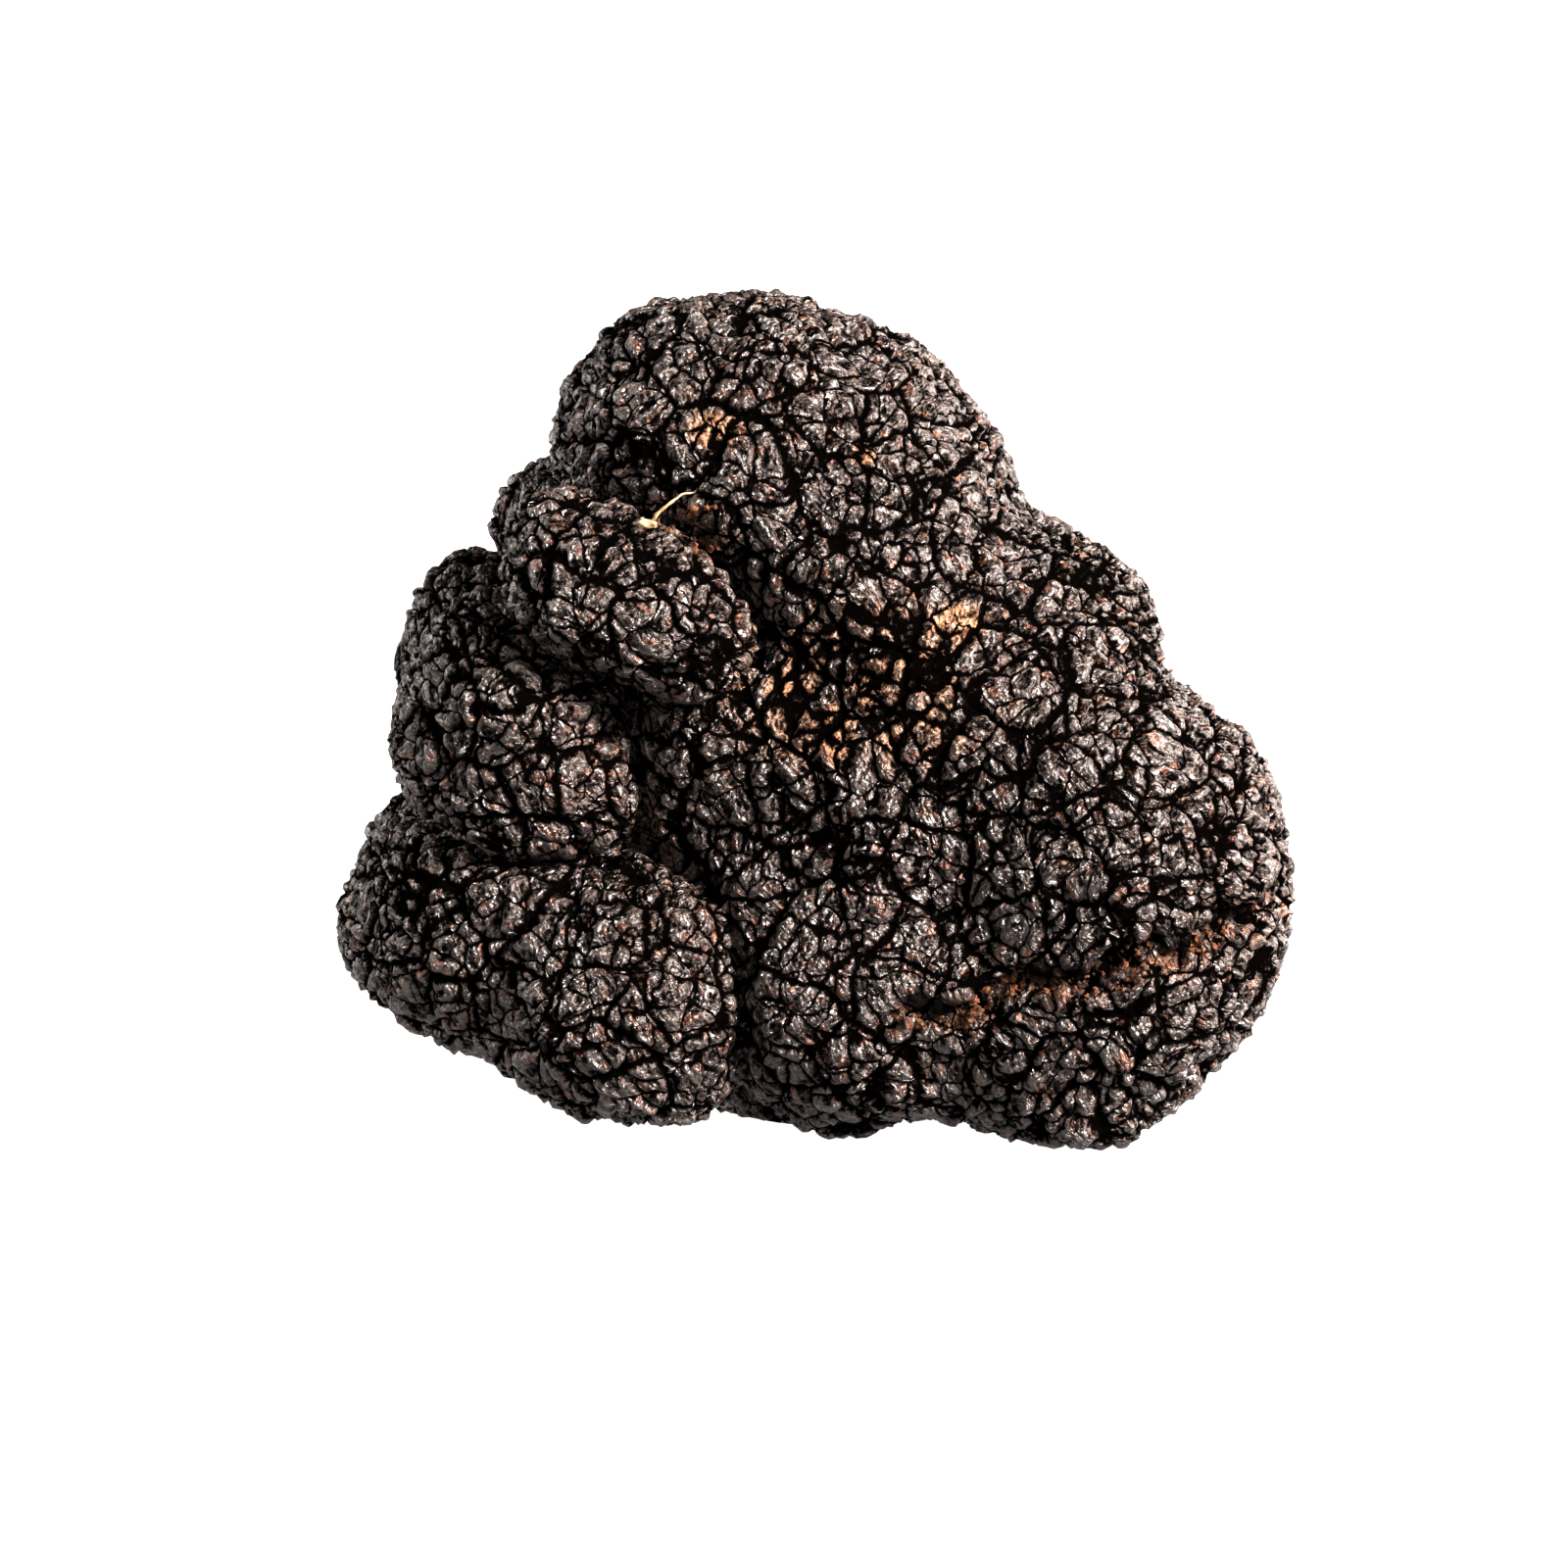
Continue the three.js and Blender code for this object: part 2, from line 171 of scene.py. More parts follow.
@dataclass
class FruitBody:
    """The smooth body under the warts, the same one that the solid is grown from. All sizes are in mm."""

    lobes: Mapping[str, tuple[Swelling, ...]] = field(default_factory=lambda: LOBES)
    furrows: tuple[Furrow, ...] = (GROOVE, BACK_FURROW)
    swelling_blend: float = 1.8
    lobe_blend: float = 0.45
    crease_depth: float = 0.9
    crease_width: float = 1.1
    furrow_wander: float = 0.6
    furrow_turns: float = 0.8
    wave_height: float = 0.45
    wave_length: float = 15.0
    waves: tuple[Wave, ...] = (
        Wave(0, 1.0, 1.7, 0.55, 1, 0.5),
        Wave(1, 0.93, 1.5, 0.5, 2, 2.0),
        Wave(2, 0.97, 1.6, 0.45, 0, 4.0),
    )
    wave_share: float = 1.5
    far_off: float = 30.0
    low: Triple = (-37.6, -22.6, -1.2)
    high: Triple = (37.4, 32.6, 64.0)
    batch: int = 60000
    slab: int = 8

    @staticmethod
    def _swelling_distance(points: np.ndarray, swelling: Swelling) -> np.ndarray:
        """Distance from an ellipsoid, near enough close to its surface.

        Args:
            points: N places, in mm.
            swelling: the ellipsoid.

        Returns:
            N distances, negative inside.
        """
        half = np.array(swelling.half, np.float32)
        near = (points - np.array(swelling.middle, np.float32)) / half
        reach = np.sqrt(np.einsum("ij,ij->i", near, near))
        near /= half
        slope = np.sqrt(np.einsum("ij,ij->i", near, near)) + 1e-9
        return reach * (reach - 1) / slope

    def _blended(self, distances: Sequence[np.ndarray], softness: float) -> np.ndarray:
        """The distances joined into one, with soft joints.

        Args:
            distances: one array for each form.
            softness: how soft the joints are, in mm.

        Returns:
            The joined distances.
        """
        total = sum(np.exp(-np.minimum(one, self.far_off) / softness) for one in distances)
        return -softness * np.log(total)

    def lobe_distances(self, points: np.ndarray) -> np.ndarray:
        """Distance of each place from each lobe.

        Args:
            points: N places, in mm.

        Returns:
            An array of one row a lobe and N columns.
        """
        return np.stack(
            [
                self._blended([self._swelling_distance(points, one) for one in lobe], self.swelling_blend)
                for lobe in self.lobes.values()
            ]
        )

    def furrow_side(self, furrow: Furrow, points: np.ndarray) -> np.ndarray:
        """How far each place lies to one side of a furrow's wandering line, in mm."""
        wander = self.furrow_wander * np.sin(self.furrow_turns * (points[:, 0] + points[:, 1]))
        return (points - np.array(furrow.on, np.float32)) @ np.array(furrow.across, np.float32) + wander

    def furrow_strength(self, furrow: Furrow, points: np.ndarray) -> np.ndarray:
        """How strong a furrow is at each place, from 0 to 1."""
        away = np.linalg.norm(points - np.array(furrow.on, np.float32), axis=1)
        return np.exp(-((away / furrow.reach) ** 4))

    def unevenness(self, points: np.ndarray) -> np.ndarray:
        """The slow rise and fall of the body.

        Args:
            points: N places, in mm.

        Returns:
            N heights, in mm.
        """
        base = 2 * math.pi / self.wave_length
        a, b, c = (
            np.sin(
                wave.rate * base * points[:, wave.along]
                + wave.bend * np.sin(wave.bend_rate * base * points[:, wave.bend_axis] + wave.phase)
            )
            for wave in self.waves
        )
        return self.wave_height * (a * b + b * c + c * a) / self.wave_share

    def _distance_of_some(self, points: np.ndarray) -> np.ndarray:
        """Distance from the body for one batch of places.

        Args:
            points: the places, in mm.

        Returns:
            Their distances in mm, negative inside.
        """
        apart = self.lobe_distances(points)
        two = np.partition(apart, 1, axis=0)[:2]
        distance = self._blended(list(apart), self.lobe_blend)
        distance += self.crease_depth * np.exp(-(((two[1] - two[0]) / self.crease_width) ** 2))
        for furrow in self.furrows:
            hollow = np.exp(-((self.furrow_side(furrow, points) / furrow.width) ** 2))
            distance += furrow.depth * hollow * self.furrow_strength(furrow, points)
        distance -= self.unevenness(points)
        return np.maximum(distance, -points[:, 2])

    def _lead_of_some(self, points: np.ndarray) -> np.ndarray:
        """How much farther the second lobe is than the nearest, for one batch of places, in mm."""
        two = np.partition(self.lobe_distances(points), 1, axis=0)[:2]
        return two[1] - two[0]

    def _in_batches(self, work: Callable[[np.ndarray], np.ndarray], points: np.ndarray) -> np.ndarray:
        """Has several workers work something out for many places.

        Args:
            work: what a worker does with one batch of places.
            points: N places, in mm.

        Returns:
            N numbers, in the order of the places.
        """
        parts = [points[i : i + self.batch] for i in range(0, len(points), self.batch)]
        with ThreadPoolExecutor() as pool:
            return np.concatenate(list(pool.map(work, parts)))

    def distance(self, points: np.ndarray) -> np.ndarray:
        """Distance from the body, cut flat where it rests, in mm and negative inside."""
        return self._in_batches(self._distance_of_some, points)

    def crease_lead(self, points: np.ndarray) -> np.ndarray:
        """How much farther the second lobe is than the nearest, in mm: 0 in the bottom of a crease."""
        return self._in_batches(self._lead_of_some, points)

    def net(self, step: float) -> tuple[np.ndarray, np.ndarray]:
        """A net of squares over the body, one corner in each grid cell that the surface crosses.

        Args:
            step: the grid's spacing, in mm.

        Returns:
            The corners, in mm, and four corner numbers for each square, outward.
        """
        axes = [np.arange(self.low[a], self.high[a], step, dtype=np.float32) for a in range(3)]
        shape = tuple(len(axis) for axis in axes)
        values = np.empty(shape, np.float32)
        for first in range(0, shape[0], self.slab):
            some = slice(first, first + self.slab)
            grid = np.stack(np.meshgrid(axes[0][some], *axes[1:], indexing="ij"), -1)
            values[some] = self.distance(grid.reshape(-1, 3)).reshape(grid.shape[:3])
        cells: list[np.ndarray] = []
        crossings: list[np.ndarray] = []
        for axis in range(3):
            near = tuple(slice(0, -1) if a == axis else slice(None) for a in range(3))
            far = tuple(slice(1, None) if a == axis else slice(None) for a in range(3))
            here, there = values[near], values[far]
            corner = np.argwhere((here < 0) != (there < 0))
            first, second = here[tuple(corner.T)], there[tuple(corner.T)]
            crossing = corner.astype(np.float64)
            crossing[:, axis] += first / (first - second)
            one, two = np.eye(3, dtype=int)[(axis + 1) % 3], np.eye(3, dtype=int)[(axis + 2) % 3]
            ring = np.stack([corner, corner - one, corner - one - two, corner - two], 1)
            turned = first > 0
            ring[turned] = ring[turned][:, ::-1]
            cells.append(ring.reshape(-1, 3))
            crossings.append(crossing)
        flat = np.ravel_multi_index(tuple(np.concatenate(cells).T), shape)
        _, owner = np.unique(flat, return_inverse=True)
        sharing = np.bincount(owner)
        places = np.repeat(np.concatenate(crossings), 4, axis=0)
        corners = np.stack([np.bincount(owner, weights=places[:, a]) / sharing for a in range(3)], 1)
        return corners * step + np.array(self.low), owner.reshape(-1, 4)

    def settled(self, points: np.ndarray, normals: np.ndarray, rounds: int = 3) -> np.ndarray:
        """Places moved along their normals until they lie on the body.

        Args:
            points: N places near the surface, in mm.
            normals: their outward directions.
            rounds: how many moves.

        Returns:
            N places on the surface.
        """
        for _ in range(rounds):
            points = points - normals * self.distance(points.astype(np.float32))[:, None]
        return points


# Shader and geometry maths.


class SocketNumber:
    """A number that comes out of a node, with which sums and products are written."""

    def __init__(self, sheet: "NodeSheet", socket: bpy.types.NodeSocket) -> None:
        """Wraps one socket of a sheet."""
        self.sheet = sheet
        self.socket = socket

    def _math(self, operation: str, *terms: "SocketNumber | float") -> "SocketNumber":
        """One Math node on the terms."""
        node = self.sheet.node("ShaderNodeMath", {"operation": operation}, dict(enumerate(terms)))
        return SocketNumber(self.sheet, node.outputs[0])

    def __add__(self, other: "SocketNumber | float") -> "SocketNumber":
        """The sum."""
        return self._math("ADD", self, other)

    __radd__ = __add__

    def __sub__(self, other: "SocketNumber | float") -> "SocketNumber":
        """The difference."""
        return self._math("SUBTRACT", self, other)

    def __rsub__(self, other: "SocketNumber | float") -> "SocketNumber":
        """The difference, from a plain number."""
        return self._math("SUBTRACT", other, self)

    def __mul__(self, other: "SocketNumber | float") -> "SocketNumber":
        """The product."""
        return self._math("MULTIPLY", self, other)

    __rmul__ = __mul__

    def __truediv__(self, other: "SocketNumber | float") -> "SocketNumber":
        """The quotient."""
        return self._math("DIVIDE", self, other)

    def least(self, other: "SocketNumber | float") -> "SocketNumber":
        """The smaller of the two."""
        return self._math("MINIMUM", self, other)

    def most(self, other: "SocketNumber | float") -> "SocketNumber":
        """The larger of the two."""
        return self._math("MAXIMUM", self, other)

    def sine(self) -> "SocketNumber":
        """The sine, in radians."""
        return self._math("SINE", self)

    def zigzag(self) -> "SocketNumber":
        """A straight-sided wave that runs from 0 to 1 and back in a step of 2."""
        return self._math("PINGPONG", self, 1.0)

    def bell(self, width: float) -> "SocketNumber":
        """A bell curve of this width: 1 at 0 and falling to both sides."""
        share = self / width
        return self._math("EXPONENT", share * share * -1.0)

    def rise(self, start: "SocketNumber | float", end: "SocketNumber | float") -> "SocketNumber":
        """Smoothly from 0 at the start to 1 at the end."""
        node = self.sheet.node(
            "ShaderNodeMapRange",
            {"interpolation_type": "SMOOTHSTEP", "clamp": True},
            {"Value": self, "From Min": start, "From Max": end},
        )
        return SocketNumber(self.sheet, node.outputs["Result"])


class SocketVector:
    """A place, direction or colour that comes out of a node."""

    def __init__(self, sheet: "NodeSheet", socket: bpy.types.NodeSocket) -> None:
        """Wraps one socket of a sheet."""
        self.sheet = sheet
        self.socket = socket

    def _vector(self, operation: str, *terms: "SocketVector | Triple") -> bpy.types.Node:
        """One Vector Math node on the terms."""
        return self.sheet.node("ShaderNodeVectorMath", {"operation": operation}, dict(enumerate(terms)))

    def __add__(self, other: "SocketVector | Triple") -> "SocketVector":
        """The sum."""
        return SocketVector(self.sheet, self._vector("ADD", self, other).outputs[0])

    def __sub__(self, other: "SocketVector | Triple") -> "SocketVector":
        """The difference."""
        return SocketVector(self.sheet, self._vector("SUBTRACT", self, other).outputs[0])

    def __truediv__(self, other: Triple) -> "SocketVector":
        """Each part divided by its own number."""
        return SocketVector(self.sheet, self._vector("DIVIDE", self, other).outputs[0])

    def __mul__(self, scale: "SocketNumber | float") -> "SocketVector":
        """The vector made longer or shorter."""
        node = self.sheet.node("ShaderNodeVectorMath", {"operation": "SCALE"}, {0: self, "Scale": scale})
        return SocketVector(self.sheet, node.outputs[0])

    def dot(self, other: "SocketVector | Triple") -> SocketNumber:
        """The dot product."""
        return SocketNumber(self.sheet, self._vector("DOT_PRODUCT", self, other).outputs["Value"])

    def length(self) -> SocketNumber:
        """How long it is."""
        return SocketNumber(self.sheet, self._vector("LENGTH", self).outputs["Value"])

    def part(self, axis: int) -> SocketNumber:
        """Its X, Y or Z."""
        node = self.sheet.node("ShaderNodeSeparateXYZ", {}, {0: self})
        return SocketNumber(self.sheet, node.outputs[axis])


@dataclass(frozen=True)
class Cell:
    """What is known of the nearest cell of a cell pattern.

    Attributes:
        tint: a random triple from 0 to 1 that the whole cell shares.
        seed: the place of the seed, in mm.
    """

    tint: SocketVector
    seed: SocketVector


class NodeSheet:
    """A tree of nodes, for a material or for geometry, written as expressions."""

    def __init__(self, tree: bpy.types.NodeTree) -> None:
        """Starts the tree empty."""
        self.tree = tree
        tree.nodes.clear()

    def node(
        self, kind: str, settings: Mapping[str, Any], inputs: Mapping[int | str, Any]
    ) -> bpy.types.Node:
        """Makes a node, sets it and fills its sockets.

        Args:
            kind: the node's type.
            settings: its settings by name.
            inputs: a value, a wrapped socket or a bare one for each socket, by number or name.

        Returns:
            The node.
        """
        made = self.tree.nodes.new(kind)
        for name, setting in settings.items():
            setattr(made, name, setting)
        for name, value in inputs.items():
            if isinstance(value, (SocketNumber, SocketVector)):
                value = value.socket
            if isinstance(value, bpy.types.NodeSocket):
                self.tree.links.new(value, made.inputs[name])
            else:
                made.inputs[name].default_value = value
        return made

    def _noise(self, place: SocketVector, size: float, detail: float, rough: float) -> bpy.types.Node:
        """A node of soft noise.

        Args:
            place: where, in mm.
            size: the size of a blotch, in mm.
            detail: how many finer layers it has.
            rough: the strength of each finer layer against the one before.

        Returns:
            The node.
        """
        inputs = {"Vector": place, "Scale": 1 / size, "Detail": detail, "Roughness": rough}
        return self.node("ShaderNodeTexNoise", {"noise_dimensions": "3D"}, inputs)

    def noise(self, place: SocketVector, size: float, detail: float) -> SocketVector:
        """Three soft noises from 0 to 1, with blotches of this size in mm."""
        return SocketVector(self, self._noise(place, size, detail, 0.5).outputs["Color"])

    def grain(
        self, place: SocketVector, size: float, detail: float = 2.0, rough: float = 0.5
    ) -> SocketNumber:
        """One soft noise from 0 to 1, with blotches of this size in mm."""
        return SocketNumber(self, self._noise(place, size, detail, rough).outputs[0])

    def _cells(self, place: SocketVector, size: float, feature: str) -> bpy.types.Node:
        """A node of a pattern of cells of this size, in mm."""
        return self.node("ShaderNodeTexVoronoi", {"feature": feature}, {"Vector": place, "Scale": 1 / size})

    def cell(self, place: SocketVector, size: float) -> Cell:
        """The nearest cell of a pattern of cells of this size, in mm."""
        node = self._cells(place, size, "F1")
        return Cell(SocketVector(self, node.outputs["Color"]), SocketVector(self, node.outputs["Position"]))

    def cell_edge(self, place: SocketVector, size: float) -> SocketNumber:
        """Distance from the nearest edge between the cells of such a pattern, in mm."""
        node = self._cells(place, size, "DISTANCE_TO_EDGE")
        return SocketNumber(self, node.outputs["Distance"]) * size

    def mixed(
        self, share: SocketNumber | float, first: SocketVector | Triple, second: SocketVector | Triple
    ) -> SocketVector:
        """One colour mixed with another.

        Args:
            share: how much of the second, from 0 to 1.
            first: the first colour.
            second: the second colour.

        Returns:
            The mixed colour.
        """
        colours = [(*one, 1.0) if isinstance(one, tuple) else one for one in (first, second)]
        node = self.node("ShaderNodeMix", {"data_type": "RGBA"}, {0: share, 6: colours[0], 7: colours[1]})
        return SocketVector(self, node.outputs[2])

    def surface(self, shader: bpy.types.Node) -> None:
        """Makes this shader the surface of the sheet's material."""
        self.node("ShaderNodeOutputMaterial", {}, {"Surface": shader.outputs[0]})


# The warts.


class Patch(Enum):
    """The stained and sunk places of the skin: middle and half sizes in mm, in the lobes' frame."""

    SADDLE = ((3.2, -13.0, 35.2), (11.5, 8.0, 7.0))
    SADDLE_PEAK = ((10.2, -11.5, 40.0), (2.6, 3.4, 1.6))
    SADDLE_CHUNK = ((1.3, -13.2, 32.2), (1.8, 3.0, 2.7))
    SADDLE_WEST = ((-2.6, -12.3, 35.0), (1.8, 3.0, 1.7))
    SADDLE_MIDDLE = ((3.7, -12.9, 35.8), (1.9, 3.0, 1.6))
    SADDLE_EAST = ((7.2, -12.6, 36.6), (1.3, 3.0, 2.0))
    CROWN_SPOT = ((-7.4, -8.7, 53.6), (2.4, 3.0, 1.5))
    CROWN_DOT = ((3.3, -8.7, 51.8), (1.2, 2.0, 0.9))
    SOIL_BED = ((-8.8, -9.3, 46.6), (3.6, 3.4, 2.5))
    RUSTY_PIT = ((25.3, -16.9, 15.9), (1.5, 2.2, 1.3))
    BLACK_PIT = ((20.9, -18.6, 16.4), (1.5, 2.2, 1.2))


# The places where tan soil covers the lumps whole.
TAN_PLACES = (
    Patch.SADDLE_PEAK,
    Patch.SADDLE_CHUNK,
    Patch.SADDLE_WEST,
    Patch.SADDLE_MIDDLE,
    Patch.SADDLE_EAST,
    Patch.CROWN_SPOT,
    Patch.CROWN_DOT,
)
PATCH_EDGE = (0.45, 1.15)

# The waves that make facets: the way each runs, and how much shorter it is than the longest.
FACET_WAVES = (
    ((0.0, 0.53, 0.85), 1.0),
    ((0.85, 0.0, 0.53), 1.21),
    ((-0.85, 0.1, 0.52), 1.1),
    ((0.53, -0.85, 0.0), 1.33),
)
MIDDLE = (0.5, 0.5, 0.5)


@dataclass(frozen=True)
class WartSizes:
    """Sizes of the warts and of the cracks between them, in mm. Shares, details and edges are from 0 up."""

    bend_size: float = 5.5
    bend_reach: float = 1.3
    jag_size: float = 1.1
    jag_reach: float = 0.4
    plate_size: float = 4.9
    plate_gap: float = 0.5
    plate_depth: float = 0.45
    plate_saddle: float = 0.5
    plate_drop: float = 0.2
    lump_size: float = 2.1
    lump_reach: float = 0.42
    lump_height: float = 0.42
    lump_gape: float = 0.26
    lump_least: float = 0.5
    lump_spread: float = 0.9
    lump_saddle: float = 0.3
    fold_size: float = 0.8
    fold_height: float = 0.72
    fine_size: float = 0.3
    fine_height: float = 0.62
    nodule_size: float = 0.62
    nodule_tilt: float = 0.95
    hole_depth: float = 0.8
    rough_size: float = 0.55
    rough_height: float = 0.5
    rough_detail: float = 2.5
    rough_share: float = 0.72
    swell_size: float = 9.0
    swell_height: float = 0.5
    gap_size: float = 6.0
    gap_edge: tuple[float, float] = (0.4, 0.7)
    crack_width: float = 0.13
    crack_spread: float = 0.12
    crack_core: float = 0.3
    lift: float = -0.15


@dataclass(frozen=True)
class WartShades:
    """How far the painted shade in the low places of the warts reaches: widths in mm, and shares from 0 to 1.
    """

    seam_width: float = 0.16
    seam_spread: float = 0.12
    plate_edge: tuple[float, float] = (0.02, 0.4)
    fold_edge: tuple[float, float] = (0.36, 0.54)
    fold_least: float = 0.35
    fine_edge: tuple[float, float] = (0.36, 0.52)
    fine_least: float = 0.5
    rough_share: float = 0.9


@dataclass(frozen=True)
class Relief:
    """What the wart pattern gives at a place.

    Attributes:
        shape: height of the warts that the mesh carries, in mm.
        grain: height of what is too fine for the mesh, in mm.
        bulge: from 0 in the gaps between the lumps to 1 on their tops.
        level: the same, broken up by the folds and the finest hollows; it sets the painted shade and sheen.
        crack: 1 in the middle of a crack and 0 off it.
        rough: the fine roughness, from 0 in its hollows to 1.
        facet: a random triple that each nodule has.
        lump: a random triple that each lump has.
    """

    shape: SocketNumber
    grain: SocketNumber
    bulge: SocketNumber
    level: SocketNumber
    crack: SocketNumber
    rough: SocketNumber
    facet: SocketVector
    lump: SocketVector


@dataclass(frozen=True)
class WartPattern:
    """The polygonal warts, worked out the same way for the mesh and for the material."""

    sizes: WartSizes = WartSizes()
    shades: WartShades = WartShades()

    @staticmethod
    def patch(place: SocketVector, which: Patch) -> SocketNumber:
        """How strongly a stained or sunk place holds, from 0 to 1."""
        middle, half = which.value
        return 1.0 - ((place - middle) / half).length().rise(*PATCH_EDGE)

    def relief(self, sheet: NodeSheet, place: SocketVector) -> Relief:
        """Works out the warts at a place of the smooth body.

        Args:
            sheet: the node sheet.
            place: where, in mm, in the lobes' frame.

        Returns:
            The relief there.
        """
        s, shades = self.sizes, self.shades
        bent = self._bent(sheet, place)
        saddle = self.patch(place, Patch.SADDLE)
        wide = sheet.grain(place, s.gap_size, 1.0).rise(*s.gap_edge)
        plate_edge = sheet.cell_edge(bent, s.plate_size)
        plate_low = self._gap(plate_edge, s.plate_gap) * s.plate_depth * (1.0 + s.plate_saddle * saddle)
        plate_low = plate_low + sheet.cell(bent, s.plate_size).tint.part(0) * s.plate_drop
        lump_edge = sheet.cell_edge(bent, s.lump_size)
        lump = sheet.cell(bent, s.lump_size)
        gape = saddle * s.lump_gape
        hill = (lump_edge / (s.lump_reach + gape)).least(1.0)
        lump_scale = s.lump_least + s.lump_spread * lump.tint.part(1) + s.lump_saddle * saddle
        lump_high = hill * (1.5 - 0.5 * hill) * s.lump_height * lump_scale
        folds = self._facets(bent + lump.tint * s.plate_size, s.fold_size)
        nodule = sheet.cell(bent, s.nodule_size)
        slant = (bent - nodule.seed).dot(nodule.tint - MIDDLE) * s.nodule_tilt
        fine = self._facets(bent + nodule.tint * s.lump_size, s.fine_size)
        swell = (sheet.grain(place, s.swell_size, 1.0) - 0.5) * s.swell_height
        holes = self.patch(place, Patch.RUSTY_PIT).most(self.patch(place, Patch.BLACK_PIT))
        shape = s.lift + lump_high - plate_low + (folds - 0.5) * hill * s.fold_height + swell
        shape = shape - holes * s.hole_depth
        crack_width = s.crack_width + wide * s.crack_spread
        crack = 1.0 - plate_edge.rise(s.crack_core * crack_width, crack_width)
        rough = sheet.grain(place, s.rough_size, s.rough_detail, s.rough_share)
        grain = slant + fine * s.fine_height + rough * s.rough_height
        # The bulge and the level set where the skin's finish paints shade in the low places and sheen on the
        # tops.
        bulge = lump_edge.rise(0.0, gape + wide * shades.seam_spread + shades.seam_width)
        bulge = bulge * plate_edge.rise(*shades.plate_edge)
        level = bulge * (shades.fold_least + (1 - shades.fold_least) * folds.rise(*shades.fold_edge))
        level = level * (shades.fine_least + (1 - shades.fine_least) * fine.rise(*shades.fine_edge))
        level = level + (rough - 0.5) * shades.rough_share
        return Relief(shape, grain, bulge, level, crack, rough, nodule.tint, lump.tint)

    def _bent(self, sheet: NodeSheet, place: SocketVector) -> SocketVector:
        """The place that the cells are read at, pushed about so that no wart is regular, in mm."""
        s = self.sizes
        bent = place + (sheet.noise(place, s.bend_size, 1.0) - MIDDLE) * (2 * s.bend_reach)
        return bent + (sheet.noise(place, s.jag_size, 2.5) - MIDDLE) * (2 * s.jag_reach)

    @staticmethod
    def _facets(place: SocketVector, size: float) -> SocketNumber:
        """Flat facets that meet in sharp ridges and valleys, made by straight-sided waves that cross.

        Args:
            place: where, in mm.
            size: from a ridge to the next valley of the longest wave, in mm.

        Returns:
            The height, from 0 to 1.
        """
        waves = [(place.dot(along) * (shorter / size)).zigzag() for along, shorter in FACET_WAVES]
        return sum(waves[1:], waves[0]) * (1.0 / len(waves))

    @staticmethod
    def _gap(edge: SocketNumber, width: float) -> SocketNumber:
        """The hollow beside a cell's edge: 1 at the edge and 0 past its width, with rounded shoulders."""
        left = 1.0 - (edge / width).least(1.0)
        return left * left


# The finishes.


def new_material(name: str) -> tuple[bpy.types.Material, NodeSheet]:
    """Makes a material without nodes yet.

    Args:
        name: its name.

    Returns:
        The material and its sheet.
    """
    material = bpy.data.materials.new(name)
    material.use_nodes = True
    return material, NodeSheet(material.node_tree)


